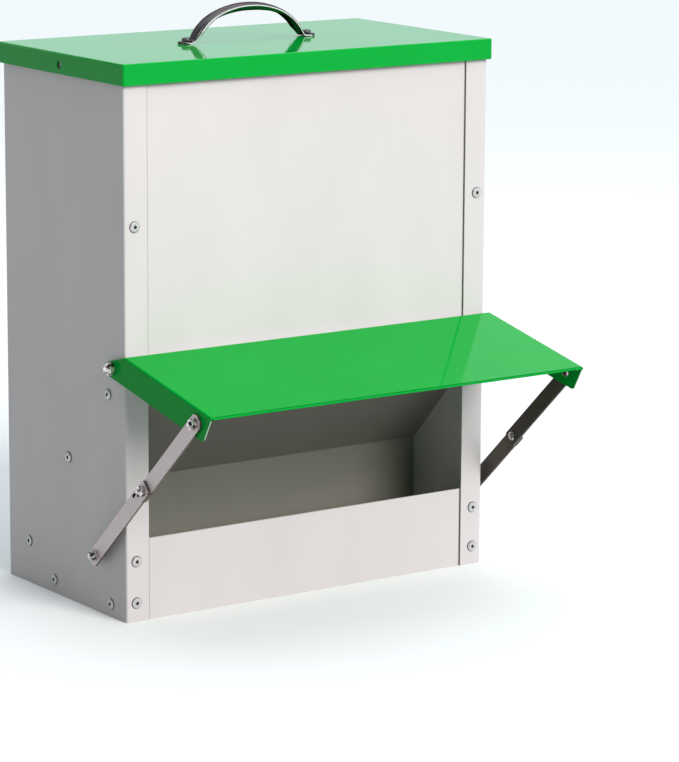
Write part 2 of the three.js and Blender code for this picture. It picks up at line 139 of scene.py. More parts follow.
def recalculate(piece):
    """Turns every face outwards."""
    mesh = bmesh.new()
    mesh.from_mesh(piece.data)
    bmesh.ops.recalc_face_normals(mesh, faces=mesh.faces)
    mesh.to_mesh(piece.data)
    mesh.free()


def apply_modifiers(piece):
    evaluated = piece.evaluated_get(bpy.context.evaluated_depsgraph_get())
    applied = bpy.data.meshes.new_from_object(evaluated)
    piece.modifiers.clear()
    piece.data = applied


def carve(piece, cutters, operation="DIFFERENCE"):
    """Cuts the cutters from a piece, or keeps what they share, and removes them."""
    for cutter in cutters:
        modifier = piece.modifiers.new("cut", "BOOLEAN")
        modifier.operation = operation
        modifier.solver = "EXACT"
        modifier.object = cutter
    apply_modifiers(piece)
    for cutter in cutters:
        bpy.data.objects.remove(cutter)
    finish_shading(piece)


def merge(piece, others):
    """Adds other pieces' shells to a piece and removes them."""
    mesh = bmesh.new()
    mesh.from_mesh(piece.data)
    for other in others:
        mesh.from_mesh(other.data)
        bpy.data.objects.remove(other)
    mesh.to_mesh(piece.data)
    mesh.free()
    finish_shading(piece)


def move(piece, matrix):
    piece.data.transform(matrix)
    if matrix.determinant() < 0:
        piece.data.flip_normals()


def drill(y, z, radius, segments=32):
    """A round cutter right across the feeder from side to side."""
    cutter = lathe("drill", [(0, -1), (radius, -1), (radius, 1), (0, 1)], segments)
    move(cutter, Matrix.Translation((0, y, z)) @ Matrix.Rotation(math.pi / 2, 4, "Y"))
    return cutter


def arc(centre, radius, start, stop, steps):
    """Points round a centre, from one angle to another in degrees."""
    points = []
    for i in range(steps + 1):
        a = math.radians(start + (stop - start) * i / steps)
        points.append((centre[0] + radius * math.cos(a), centre[1] + radius * math.sin(a)))
    return points


def middle(node):
    low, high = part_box(node)
    return (low + high) / 2


# ---- Materials ----

class Shader:
    """A procedural material on one Principled shader."""

    def __init__(self, name, color, roughness, metallic=0.0, **settings):
        self.material = bpy.data.materials.new(name)
        self.material.use_nodes = True
        self.tree = self.material.node_tree
        self.base = self.tree.nodes["Principled BSDF"]
        self.base.inputs["Base Color"].default_value = (*color, 1)
        self.base.inputs["Roughness"].default_value = roughness
        self.base.inputs["Metallic"].default_value = metallic
        for key, value in settings.items():
            self.base.inputs[key.replace("_", " ")].default_value = value
        self.coordinates = self.tree.nodes.new("ShaderNodeTexCoord")

    def node(self, kind, **values):
        made = self.tree.nodes.new(kind)
        for key, value in values.items():
            setattr(made, key, value)
        return made

    def link(self, source, target):
        self.tree.links.new(source, target)

    def noise(self, size, detail=3.0, stretch=(1, 1, 1), roughness=0.5):
        """Noise whose grain is about the given size in metres."""
        mapping = self.node("ShaderNodeMapping")
        mapping.inputs["Scale"].default_value = stretch
        self.link(self.coordinates.outputs["Object"], mapping.inputs["Vector"])
        texture = self.node("ShaderNodeTexNoise")
        texture.inputs["Scale"].default_value = 1 / size
        texture.inputs["Detail"].default_value = detail
        texture.inputs["Roughness"].default_value = roughness
        self.link(mapping.outputs["Vector"], texture.inputs["Vector"])
        return texture.outputs["Fac"]

    def ramp(self, source, stops):
        """A colour or grey ramp. Stops are (position, colour)."""
        ramp = self.node("ShaderNodeValToRGB")
        elements = ramp.color_ramp.elements
        while len(elements) < len(stops):
            elements.new(0.5)
        for element, (position, color) in zip(elements, stops):
            element.position = position
            element.color = (*color, 1) if isinstance(color, tuple) else (color, color, color, 1)
        self.link(source, ramp.inputs["Fac"])
        return ramp.outputs["Color"]

    def vary(self, socket, source, low, high):
        """Drives a value of the shader between two limits."""
        span = self.node("ShaderNodeMapRange")
        span.inputs["From Min"].default_value, span.inputs["From Max"].default_value = NOISE_RANGE
        span.inputs["To Min"].default_value = low
        span.inputs["To Max"].default_value = high
        self.link(source, span.inputs["Value"])
        self.link(span.outputs["Result"], self.base.inputs[socket])

    def bump(self, source, height, strength=1.0):
        """Adds relief of the given height in metres over what is there already."""
        bump = self.node("ShaderNodeBump")
        bump.inputs["Distance"].default_value = height
        bump.inputs["Strength"].default_value = strength
        self.link(source, bump.inputs["Height"])
        before = self.base.inputs["Normal"].links
        if before:
            self.link(before[0].from_socket, bump.inputs["Normal"])
        self.link(bump.outputs["Normal"], self.base.inputs["Normal"])

    def paint_seam_shade(self, edge, width, skin):
        """A painted shade line at a distance either side of the middle plane, on the outer face only,
        standing in for the shade in the gap behind a flange.

        The skin is how far from the middle, front to back, the outer face begins.
        """
        position = self.node("ShaderNodeSeparateXYZ")
        self.link(self.coordinates.outputs["Object"], position.inputs["Vector"])
        sideways, rearwards = (self.node("ShaderNodeMath", operation="ABSOLUTE") for _ in range(2))
        self.link(position.outputs["X"], sideways.inputs[0])
        self.link(position.outputs["Y"], rearwards.inputs[0])
        span = self.node("ShaderNodeMapRange", interpolation_type="SMOOTHSTEP")
        span.inputs["From Min"].default_value = edge - width
        span.inputs["From Max"].default_value = edge - 0.4 * width
        self.link(sideways.outputs["Value"], span.inputs["Value"])
        outside = self.node("ShaderNodeMath", operation="GREATER_THAN")
        outside.inputs[1].default_value = skin
        self.link(rearwards.outputs["Value"], outside.inputs[0])
        line = self.node("ShaderNodeMath", operation="MULTIPLY")
        self.link(span.outputs["Result"], line.inputs[0])
        self.link(outside.outputs["Value"], line.inputs[1])
        mix = self.node("ShaderNodeMix", data_type="RGBA", blend_type="MULTIPLY")
        before = self.base.inputs["Base Color"].links[0].from_socket
        self.link(line.outputs["Value"], mix.inputs["Factor"])
        self.link(before, mix.inputs["A"])
        mix.inputs["B"].default_value = (0.16, 0.16, 0.15, 1)
        self.link(mix.outputs["Result"], self.base.inputs["Base Color"])


def tinted(color, factor):
    return tuple(c * factor for c in color)


def sheet_material(name, color, roughness, seam=None):
    """Satin coated sheet: a fine grain, faint rolling streaks up the sheet and soft mottling.

    A seam is the distance either side of the middle where the sheet goes behind a flange, the width
    of the painted shade line along that gap, and where the sheet's outer face begins.
    """
    made = Shader(name, color, roughness, 0.0, Specular_IOR_Level=0.45)
    mottle = made.noise(0.045, 4, (1, 1, 0.45))
    made.link(
        made.ramp(mottle, [(0.3, tinted(color, 0.975)), (0.7, tinted(color, 1.02))]),
        made.base.inputs["Base Color"],
    )
    made.vary("Roughness", made.noise(0.02, 3, (1, 1, 0.2)), roughness - 0.05, roughness + 0.06)
    made.bump(made.noise(0.0006, 2), 0.000012)
    made.bump(made.noise(0.11, 1, (1, 1, 0.5)), 0.00035)
    if seam:
        made.paint_seam_shade(*seam)
    return made.material


def enamel_material(name, color, specular):
    """High-gloss enamel: clear and smooth, with a faint orange peel."""
    made = Shader(name, color, 0.06, 0.0, Specular_IOR_Level=specular)
    made.link(
        made.ramp(made.noise(0.06, 2), [(0.3, tinted(color, 0.97)), (0.7, tinted(color, 1.03))]),
        made.base.inputs["Base Color"],
    )
    made.vary("Roughness", made.noise(0.03, 3), 0.04, 0.09)
    made.bump(made.noise(0.0022, 1), 0.000006)
    return made.material


def chrome_material():
    """Bright plating with hair-fine polishing marks."""
    made = Shader("chrome", (0.2, 0.18, 0.18), 0.08, 1.0, Specular_Tint=(0.25, 0.22, 0.22, 1))
    made.vary("Roughness", made.noise(0.004, 3, (0.2, 1, 0.2)), 0.05, 0.12)
    made.bump(made.noise(0.0008, 2, (0.15, 1, 0.15)), 0.000003)
    return made.material


def edge_highlight_material():
    """A paler, less metallic copy of the plating: a painted highlight along the edges of the handle."""
    color = (0.8, 0.78, 0.77)
    made = Shader("chrome_painted_highlight", color, 0.25, 0.4)
    made.link(
        made.ramp(made.noise(0.004, 2, (0.3, 1, 1)), [(0.3, tinted(color, 0.9)), (0.7, color)]),
        made.base.inputs["Base Color"],
    )
    made.vary("Roughness", made.noise(0.002, 3), 0.2, 0.32)
    made.bump(made.noise(0.0008, 2, (0.15, 1, 0.15)), 0.000003)
    return made.material


def nickel_material(name, color, metallic):
    """Barrel-plated flat bar: matt, speckled, with short scratches."""
    made = Shader(name, color, 0.4, metallic)
    speckle = made.noise(0.0009, 3)
    made.link(
        made.ramp(speckle, [(0.32, tinted(color, 0.8)), (0.62, tinted(color, 1.08))]),
        made.base.inputs["Base Color"],
    )
    made.vary("Roughness", made.noise(0.0025, 3), 0.32, 0.52)
    made.bump(made.noise(0.0007, 3), 0.00003)
    return made.material


def zinc_material():
    """Bright zinc on nuts and bolts, a little worn; its cloudy near-black and bright patches are
    painted reflections.
    """
    color = (0.4, 0.375, 0.37)
    made = Shader("bright_zinc", color, 0.12, 0.8)
    made.link(
        made.ramp(made.noise(0.003, 2), [(0.42, tinted(color, 0.08)), (0.54, tinted(color, 2.1))]),
        made.base.inputs["Base Color"],
    )
    made.vary("Roughness", made.noise(0.0015, 2), 0.09, 0.17)
    made.bump(made.noise(0.0012, 2), 0.000008)
    return made.material


def rivet_material():
    """Drawn aluminium, satin, with fine turning marks."""
    color = (0.62, 0.61, 0.6)
    made = Shader("rivet_aluminium", color, 0.42, 0.45)
    made.link(
        made.ramp(made.noise(0.0015, 3), [(0.3, tinted(color, 0.8)), (0.7, tinted(color, 1.1))]),
        made.base.inputs["Base Color"],
    )
    made.vary("Roughness", made.noise(0.001, 2), 0.26, 0.42)
    made.bump(made.noise(0.0005, 2), 0.000012)
    return made.material


def dark_metal_material(name, color):
    """Dark, rough metal for the rivets' pins, and painted shade in the stays' notch and round the rivet
    heads.
    """
    made = Shader(name, color, 0.5, 0.5)
    made.link(
        made.ramp(made.noise(0.0006, 3), [(0.3, tinted(color, 0.5)), (0.7, tinted(color, 1.6))]),
        made.base.inputs["Base Color"],
    )
    made.bump(made.noise(0.0004, 2), 0.00004)
    return made.material


def floor_material():
    """Pale paper, which throws less soft light back on the feeder than it shows."""
    made = Shader("studio_floor", (0.92, 0.92, 0.915), 0.8)
    made.base.inputs["Specular IOR Level"].default_value = 0.0
    dim = made.node("ShaderNodeBsdfDiffuse")
    dim.inputs["Color"].default_value = (0.43, 0.43, 0.43, 1)
    path = made.node("ShaderNodeLightPath")
    mix = made.node("ShaderNodeMixShader")
    made.link(path.outputs["Is Diffuse Ray"], mix.inputs[0])
    made.link(made.base.outputs["BSDF"], mix.inputs[1])
    made.link(dim.outputs["BSDF"], mix.inputs[2])
    made.link(mix.outputs["Shader"], made.tree.nodes["Material Output"].inputs["Surface"])
    return made.material


HOUSING = (0.628, 0.592, 0.583)
# The inner sheet is the housing's sheet painted darker and olive: painted shade under the hood with a
# painted green reflection.
INNER_PAINTED_SHADE = (0.285, 0.275, 0.235)
GREEN = (0.0, 0.35, 0.037)

FLANGE_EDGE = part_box("right_side_panel")[1].x - 18 * MM
PANEL_SKIN = -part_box("front_panel")[0].y - SHEET / 2

MATERIALS = {
    "housing": sheet_material("satin_sheet", HOUSING, 0.42),
    # The panels' seam is a painted shade line along the gap behind each flange.
    "panel": sheet_material("satin_sheet_panel", HOUSING, 0.42, (FLANGE_EDGE, 1.3 * MM, PANEL_SKIN)),
    "inner": sheet_material("satin_sheet_inner_painted_shade", INNER_PAINTED_SHADE, 0.5),
    "lid": enamel_material("green_enamel_lid", GREEN, 0.115),
    "hood": enamel_material("green_enamel_hood", GREEN, 0.035),
    # A pale green painted highlight for the front-facing edges of the hood's ears.
    "ear_edge_highlight": enamel_material("green_enamel_painted_highlight", (0.42, 0.62, 0.45), 0.3),
    "chrome": chrome_material(),
    "chrome_highlight_edge": edge_highlight_material(),
    "nickel": nickel_material("tumbled_nickel", (0.67, 0.57, 0.565), 0.35),
    # A darker copy of the nickel: painted shade on the stays' backs and lower edges.
    "nickel_painted_shade": nickel_material("tumbled_nickel_painted_shade", (0.115, 0.096, 0.078), 0.55),
    # Near-black painted shade inside the stays' notch.
    "notch_shade": dark_metal_material("painted_notch_shade", (0.012, 0.011, 0.01)),
    "zinc": zinc_material(),
    "rivet": rivet_material(),
    # The rivets' dark steel pins, darkened further as painted shade in their holes, and a painted
    # shadow ring at each head's rim.
    "pin": dark_metal_material("rivet_pin_and_painted_shade", (0.075, 0.07, 0.065)),
}


# ---- Carried-over sheets and washers ----

def dress(node, material):
    """Gives a CAD node its material and softens its cut edges."""
    piece = frame["nodes"][node]
    piece.data.materials.clear()
    piece.data.materials.append(MATERIALS[material])
    piece.data.polygons.foreach_set("use_smooth", [True] * len(piece.data.polygons))
    weld = piece.modifiers.new("weld", "WELD")
    weld.merge_threshold = 1e-6
    bevel = piece.modifiers.new("edges", "BEVEL")
    bevel.width = 0.18 * MM
    bevel.segments = 2
    bevel.limit_method = "ANGLE"
    bevel.angle_limit = math.radians(50)
    bevel.use_clamp_overlap = True
    normals = piece.modifiers.new("normals", "WEIGHTED_NORMAL")
    normals.keep_sharp = False
    normals.weight = 100


def dress_housing():
    for side in SIDES:
        dress(f"{side}_side_panel", "housing")
    for node in ("back_panel", "front_panel", "trough_front"):
        dress(node, "panel")
    # The floor, baffle and ramp take the inner sheet, darkened as painted shade.
    for node in ("floor_panel", "hopper_baffle", "rear_ramp"):
        dress(node, "inner")


def dress_washers():
    for side in SIDES:
        dress(f"{side}_hood_washer", "zinc")


# ---- Stand-ins for CAD nodes ----

def body_holding(node):
    return next(b for b, nodes in frame["record"]["behaviour"]["bodies"].items() if node in nodes)


def stand_for(piece, node, slot, *materials):
    for material in materials:
        piece.data.materials.append(MATERIALS[material])
    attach(piece, body_holding(node))
    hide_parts(node)


def outwards(side, origin):
    """Turns +Z to point out of the feeder's left or right side, at an origin."""
    turn = Matrix.Rotation(math.radians(90 * SIDES[side]), 4, "Y")
    return Matrix.Translation(origin) @ turn


# ---- Rivets ----

def rivet(name, radius, height, depth):
    """A blind rivet: a domed head round a broken pin, and the set bulb behind the sheets."""
    hole = 0.31 * radius
    bulb = 0.68 * radius
    shank = 0.49 * radius
    profile = [
        (0, -depth),
        (hole * 0.8, -depth),
        (hole, -depth + 0.2 * MM),
        (hole, -depth + 0.5 * MM),
        (bulb * 0.8, -depth + 0.6 * MM),
        (bulb, -depth + 1.2 * MM),
        (bulb * 0.93, -2.3 * MM),
        (shank, -2.0 * MM),
        (shank, -0.1 * MM),
        (radius * 0.97, 0),
        (radius, 0.07 * MM),
        (radius * 0.985, height * 0.2),
        (radius * 0.9, height * 0.5),
        (radius * 0.74, height * 0.78),
        (radius * 0.55, height * 0.94),
        (radius * 0.4, height),
        (hole * 1.12, height * 0.98),
        (hole, height * 0.9),
        (hole, height * 0.05),
        (hole * 0.75, height * 0.05),
        (hole * 0.7, height * 0.22),
        (hole * 0.3, height * 0.3),
        (0, height * 0.26),
    ]
    piece = lathe(name, profile, 40)
    # Material 1 is the pin in the hole, darkened as painted shade, and a painted shadow ring at the
    # foot of the head.
    for face in piece.data.polygons:
        across = math.hypot(face.center.x, face.center.y)
        in_hole = face.center.z > 0 and across < hole * 1.005
        at_rim = 0 < face.center.z < height * 0.36 and across > radius * 0.92
        face.material_index = 1 if in_hole or at_rim else 0
    return piece


def make_rivets():
    forward = Matrix.Rotation(math.radians(90), 4, "X")
    rearward = Matrix.Rotation(math.radians(-90), 4, "X")
    for node in sorted(n for n in frame["nodes"] if "_rivet_" in n):
        low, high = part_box(node)
        side = node.split("_")[0]
        spot = (low + high) / 2
        if "_side_" in node:
            radius = (high.y - low.y) / 2
            spot.x = SIDES[side] * frame_half_width()
            height = max(high.x, -low.x) - frame_half_width()
            depth = (high.x - low.x) - height
            matrix = outwards(side, spot)
        else:
            radius = (high.x - low.x) / 2
            front = "_front_" in node
            face = housing_face("front" if front else "rear")
            spot.y = face
            height = face - low.y if front else high.y - face
            depth = (high.y - low.y) - height
            matrix = Matrix.Translation(spot) @ (forward if front else rearward)
        piece = rivet(f"{node}_set", radius, height, depth)
        move(piece, matrix)
        stand_for(piece, node, "rivets", "rivet", "pin")


def frame_half_width():
    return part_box("right_side_panel")[1].x


def housing_face(which):
    low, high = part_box("right_side_panel")
    return low.y if which == "front" else high.y


# ---- Nuts, bolts and screws ----

M4_RADIUS, M4_BORE, M4_FLATS = 2.0 * MM, 2.05 * MM, 7.0 * MM
M5_RADIUS, M5_BORE = 2.5 * MM, 2.55 * MM
LOW_HEAD = 1.4 * MM  # height of the screw heads hidden behind the elbow and the ear

def hex_nut(name, flats, thickness, bore, face, segments=48):
    """A chamfered hexagonal nut with countersunk threads, standing on the given height."""
    half = flats / 2
    slope = math.tan(math.radians(28))

    def corner(j):
        a = (TURN * j / segments) % (math.pi / 3) - math.pi / 6
        return half / math.cos(a)

    rows = []
    centre = face + thickness / 2
    flat_face = half * 0.93
    for sign in (-1, 1):
        end = centre + sign * thickness / 2
        mouth = [(bore, end - sign * 0.5 * MM), (bore + 0.45 * MM, end), (flat_face, end)]
        ring = [[(r, h)] * segments for r, h in mouth]
        chamfered = [(corner(j), end - sign * (corner(j) - flat_face) * slope) for j in range(segments)]
        ring.append(chamfered)
        rows += ring if sign < 0 else ring[::-1]
    vertices = [
        (r * math.cos(TURN * j / segments), r * math.sin(TURN * j / segments), h)
        for row in rows
        for j, (r, h) in enumerate(row)
    ]
    piece = new_piece(name, vertices, ring_faces(len(rows), segments, closed_rows=True), 28)
    recalculate(piece)
    finish_shading(piece, 28)
    return piece


def threaded_rod(name, radius, start, stop, pitch=0.7 * MM, segments=24):
    """A rod along +Z with a helical thread and a chamfered end."""
    steps = max(4, round((stop - start) / (pitch / 4)))
    depth = 0.42 * pitch
    rows = []
    for i in range(steps + 1):
        h = start + (stop - start) * i / steps
        taper = min(1.0, (stop - h) / (0.5 * MM) + 0.45)
        row = []
        for j in range(segments):
            phase = (h / pitch - j / segments) % 1
            groove = depth * abs(2 * phase - 1)
            row.append(((radius - groove) * (0.72 + 0.28 * taper), h))
        rows.append(row)
    vertices = [
        (r * math.cos(TURN * j / segments), r * math.sin(TURN * j / segments), h)
        for row in rows
        for j, (r, h) in enumerate(row)
    ]
    faces = ring_faces(len(rows), segments)
    faces.append(tuple(range(segments))[::-1])
    faces.append(tuple(range(len(vertices) - segments, len(vertices))))
    piece = new_piece(name, vertices, faces, 60)
    recalculate(piece)
    return piece


def pan_head(name, radius, height, base):
    """A pan head on the given height, facing +Z, with a cross."""
    profile = [
        (0, base),
        (radius - 0.15 * MM, base),
        (radius, base + 0.15 * MM),
        (radius, base + height * 0.35),
        (radius * 0.93, base + height * 0.68),
        (radius * 0.75, base + height * 0.9),
        (radius * 0.45, base + height * 0.985),
        (0, base + height),
    ]
    head = lathe(name, profile, 40)
    arm = radius * 0.62
    width = radius * 0.1
    floor = base + height * 0.35
    roof = base + height * 2
    slots = [(arm, width), (width, arm)]
    cutters = [
        prism("slot", [(-x, -y), (x, -y), (x, y), (-x, y)], "z", floor, roof) for x, y in slots
    ]
    carve(head, cutters)
    return head


def inward_screw(name, radius, head_radius, head_height, seat, end):
    """A screw along +Z from a head that faces -Z, its seat and its end given as heights."""
    head = pan_head(name, head_radius, head_height, 0)
    move(head, Matrix.Translation((0, 0, seat)) @ Matrix.Rotation(math.pi, 4, "X"))
    merge(head, [threaded_rod("rod", radius, seat - 0.2 * MM, end)])
    return head


def spacer(name, radius, start, stop):
    edge = 0.3 * MM
    profile = [(0, start), (radius - edge, start), (radius, start + edge)]
    profile += [(radius, stop - edge), (radius - edge, stop), (0, stop)]
    return lathe(name, profile, 32)


def side_spot(node):
    """A fastener's middle, with x on the feeder's middle plane."""
    spot = middle(node)
    return Vector((0, spot.y, spot.z))


def reach(side, node):
    """How far out a node's inner and outer faces are."""
    low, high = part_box(node)
    return (low.x, high.x) if side == "right" else (-high.x, -low.x)


def side_nut(side, joint, bore, turn):
    node = f"{side}_{joint}_nut"
    start, stop = reach(side, node)
    low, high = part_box(node)
    flats = min(high.y - low.y, high.z - low.z)
    piece = hex_nut(f"{node}_formed", flats, stop - start, bore, start)
    move(piece, outwards(side, side_spot(node)) @ Matrix.Rotation(math.radians(turn), 4, "Z"))
    stand_for(piece, node, "fasteners", "zinc")


def side_bolt(side, joint, radius, head_radius, head_height, collar=0.0):
    node = f"{side}_{joint}_bolt"
    start, stop = reach(side, node)
    piece = inward_screw(f"{node}_formed", radius, head_radius, head_height, start + head_height, stop)
    if collar:
        gap = 0.3 * MM
        foot = frame_half_width() + gap
        face = reach(side, f"{side}_lower_stay")[0] - gap
        merge(piece, [spacer("collar", collar, foot, face)])
    move(piece, outwards(side, side_spot(node)))
    stand_for(piece, node, "fasteners", "zinc")


def make_side_fasteners(side):
    side_bolt(side, "hood", M5_RADIUS, head_radius=4.6 * MM, head_height=2.6 * MM)
    side_bolt(side, "wall", M4_RADIUS, head_radius=3.8 * MM, head_height=2.2 * MM, collar=3.5 * MM)
    side_bolt(side, "elbow", M4_RADIUS, head_radius=3.1 * MM, head_height=LOW_HEAD)
    side_nut(side, "hood", M5_BORE, turn=12)
    side_nut(side, "wall", M4_BORE, turn=22)
    side_nut(side, "elbow", M4_BORE, turn=-8)


def make_ear_joint(side):
    """The screw ends at the ear's face, and its threaded end and nut turn with the upper stay."""
    screw = f"{side}_ear_screw"
    start, stop = reach(side, screw)
    piece = inward_screw(f"{screw}_formed", M4_RADIUS, 3.2 * MM, LOW_HEAD, start + LOW_HEAD, stop)
    move(piece, outwards(side, side_spot(screw)))
    stand_for(piece, screw, "fasteners", "zinc")

    node = f"{side}_ear_nut"
    start, stop = reach(side, node)
    stay_face = reach(side, f"{side}_upper_stay")[1]
    seat = stay_face + 0.3 * MM
    piece = hex_nut(f"{node}_formed", M4_FLATS, 3.2 * MM, M4_BORE, seat)
    merge(piece, [threaded_rod("stud", M4_RADIUS, start, stop)])
    move(piece, outwards(side, side_spot(node)) @ Matrix.Rotation(math.radians(16), 4, "Z"))
    stand_for(piece, node, "fasteners", "zinc")


def make_handle_fasteners(side):
    screw = f"{side}_handle_screw"
    low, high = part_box(screw)
    spot = middle(screw)
    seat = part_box("lid_cover")[1].z + 2.1 * MM
    head = pan_head(f"{screw}_formed", 0.86 * (high.x - low.x) / 2, high.z - seat - 0.2 * MM, seat)
    merge(head, [threaded_rod("shank", M4_RADIUS, low.z, seat + 0.2 * MM)])
    move(head, Matrix.Translation((spot.x, spot.y, 0)))
    stand_for(head, screw, "chrome", "chrome")

    node = f"{side}_handle_nut"
    low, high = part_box(node)
    spot = middle(node)
    flats = min(high.x - low.x, high.y - low.y)
    piece = hex_nut(f"{node}_formed", flats, high.z - low.z, M4_BORE, low.z)
    move(piece, Matrix.Translation((spot.x, spot.y, 0)))
    stand_for(piece, node, "fasteners", "zinc")


# ---- Folding stays ----

STAY_HALF = 5.8 * MM
STAY_SHEET = 1.5 * MM
STAY_HOLE = 2.2 * MM
STAY_EASE = 0.2 * MM  # of its stamped edges
ELBOW_REACH = 6.0 * MM  # of each stay past the elbow


def stay_frame(start, end):
    """Carries a stay drawn flat, s along it and t across it towards the ground, to its own slope."""
    along = (end - start).normalized()
    across = Vector((0, -along.z, along.y))
    if across.z > 0:
        across = -across
    return lambda s, t: tuple((start + along * s + across * t).yz)


def stay_bar(name, place, outline, inner, outer, holes):
    """A flat stamped bar with eased edges, its faces at two distances from the feeder's middle."""
    bar = prism(name, [place(s, t) for s, t in outline], "x", inner, outer)
    carve(bar, [drill(*place(s, 0), STAY_HOLE) for s in holes])
    return bar


def ease_edges(piece, width):
    bevel = piece.modifiers.new("edges", "BEVEL")
    bevel.width = width
    bevel.segments = 2
    bevel.limit_method = "ANGLE"
    bevel.angle_limit = math.radians(40)
    bevel.harden_normals = True
    apply_modifiers(piece)


def flatten_faces(piece):
    """Keeps broad faces flat right up to their rounded edges."""
    normals = piece.modifiers.new("normals", "WEIGHTED_NORMAL")
    normals.keep_sharp = True
    normals.weight = 100
    apply_modifiers(piece)


def chamfered_end(s, size, w):
    inwards = math.copysign(size, s)
    return [(s - inwards, -w), (s, -w + size), (s, w - size), (s - inwards, w)]


def patch(name, place, s_range, t_range, inner, outer):
    (s0, s1), (t0, t1) = s_range, t_range
    corners = [place(s0, t0), place(s1, t0), place(s1, t1), place(s0, t1)]
    return prism(name, corners, "x", inner, outer)


def make_stays(side):
    mirror = Matrix.Diagonal((SIDES[side], 1, 1, 1))
    wall, elbow, ear = (side_spot(f"{side}_{n}") for n in ("wall_bolt", "elbow_bolt", "ear_screw"))
    w = STAY_HALF

    inner, _ = reach(side, f"{side}_lower_stay")
    outer = inner + STAY_SHEET
    place = stay_frame(wall, elbow)
    length = (elbow - wall).length
    outline = chamfered_end(-8 * MM, 3 * MM, w)[::-1]
    outline += chamfered_end(length + ELBOW_REACH, 1.8 * MM, w)
    lower = stay_bar(f"{side}_lower_stay_bar", place, outline[::-1], inner, outer, (0, length))
    notch = patch(
        "notch", place, (length - 13.3 * MM, length - 8.7 * MM), (-w + 1.1 * MM, -w + 3.2 * MM),
        inner + 0.35 * MM, outer + 1 * MM,
    )
    tab = patch(
        "tab", place, (length - 5.3 * MM, length + 5 * MM), (w - 1.5 * MM, w + 0.03 * MM),
        inner + 0.3 * MM, outer + 0.8 * MM,
    )
    carve(lower, [notch])
    merge(lower, [tab])
    ease_edges(lower, STAY_EASE)
    flatten_faces(lower)
    mark_faces(lower, outer, place(length - 11 * MM, -w + 2.15 * MM))
    move(lower, mirror)
    stand_for(lower, f"{side}_lower_stay", "stays", "nickel", "nickel_painted_shade", "notch_shade")

    inner, outer = reach(side, f"{side}_upper_stay")
    place = stay_frame(elbow, ear)
    length = (ear - elbow).length
    outline = chamfered_end(-ELBOW_REACH, 0.8 * MM, w)[::-1]
    outline += chamfered_end(length + 6 * MM, 3 * MM, w)
    upper = stay_bar(f"{side}_upper_stay_bar", place, outline[::-1], inner, outer, (0, length))
    ease_edges(upper, STAY_EASE)
    flatten_faces(upper)
    mark_faces(upper, outer)
    move(upper, mirror)
    stand_for(upper, f"{side}_upper_stay", "stays", "nickel", "nickel_painted_shade")


def mark_faces(bar, face, notch=None):
    """The outer face is bright plate, the back and the lower edges take a darker copy as painted shade,
    and a stamped notch is painted near-black as shade.
    """
    for polygon in bar.data.polygons:
        centre = polygon.center
        # Faces that do not face outwards get the painted shade copy, and downward ones escape it only
        # when they face almost straight out.
        bright = polygon.normal.x > (0.5 if polygon.normal.z > 0 else 0.95)
        polygon.material_index = 0 if bright else 1
        # A stamped notch is painted near-black as shade.
        if notch and centre.x < face - 0.25 * MM and polygon.normal.x > -0.5:
            near = math.hypot(centre.y - notch[0], centre.z - notch[1]) < 2.6 * MM
            polygon.material_index = 2 if near else polygon.material_index


# ---- Handle ----

HANDLE_SHEET = 1.3 * MM
GRIP_DEPTH = 5.6 * MM  # of the turned-down edges at the top of the bow
FOOT_THICKNESS = 1.4 * MM
LEG_DEPTH = 1.6 * MM  # added to the edges between the foot and the top of the bow

# The handle's painted highlight covers these faces, along this span of the bow.
HIGHLIGHT_COLUMNS = (2, 3, 18, 19)  # faces of the section that stand upright along its two edges
HIGHLIGHT_SPAN = 51 * MM  # of the bow either side of its middle, short of the feet

# The bow's upper face from its foot to its top: x and height over the lid, in mm.
BOW = [
    (-56.2, 1.8), (-55.7, 1.8), (-54.4, 1.8), (-52.0, 1.8), (-49.2, 1.8), (-46.6, 2.1),
    (-45.4, 3.7), (-44.3, 5.7), (-42.4, 8.8), (-39.4, 12.4), (-35.5, 15.9), (-30.7, 19.1),
    (-24.8, 21.9), (-18.6, 24.0), (-12.2, 25.5), (-6.0, 26.3), (0, 26.5),
]


def smooth_path(points, steps):
    """A Catmull-Rom curve through the points."""
    path = []
    count = len(points)
    for i in range(count - 1):
        p0 = points[max(i - 1, 0)]
        p1, p2 = points[i], points[i + 1]
        p3 = points[min(i + 2, count - 1)]
        for k in range(steps):
            t = k / steps
            path.append(tuple(
                0.5 * (2 * b + (c - a) * t + (2 * a - 5 * b + 4 * c - d) * t ** 2
                       + (3 * b - a - 3 * c + d) * t ** 3)
                for a, b, c, d in zip(p0, p1, p2, p3)
            ))
    path.append(points[-1])
    return path


def bow_section(half, depth, crown, tuck):
    """A crowned channel whose edges roll round and tuck in underneath, as (y, height).

    Half-width, depth of the edges, rise of the crown, and how far the edges tuck in.
    """
    corner = min(1.5 * MM, 0.45 * half)
    turn = -crown - corner
    top = [(-half + tuck, -depth), (-half + 0.45 * tuck, (turn - depth) / 2), (-half, turn)]
    top += arc((-half + corner, turn), corner, 180, 110, 5)[1:]
    for i in range(1, 8):
        y = (-1 + i / 4) * (half - corner)
        top.append((y, -crown * (y / (half - corner)) ** 2))
    top += [(-y, z) for y, z in top[7::-1]]
    inner = half - HANDLE_SHEET
    under = []
    for i in range(9):
        y = (1 - i / 4) * (inner - 0.7 * tuck)
        height = -HANDLE_SHEET - crown * (y / half) ** 2
        under.append((y, max(height, -depth + 0.02 * MM)))
    lip = inner - tuck
    return top + [(lip, -depth)] + under + [(-lip, -depth)]


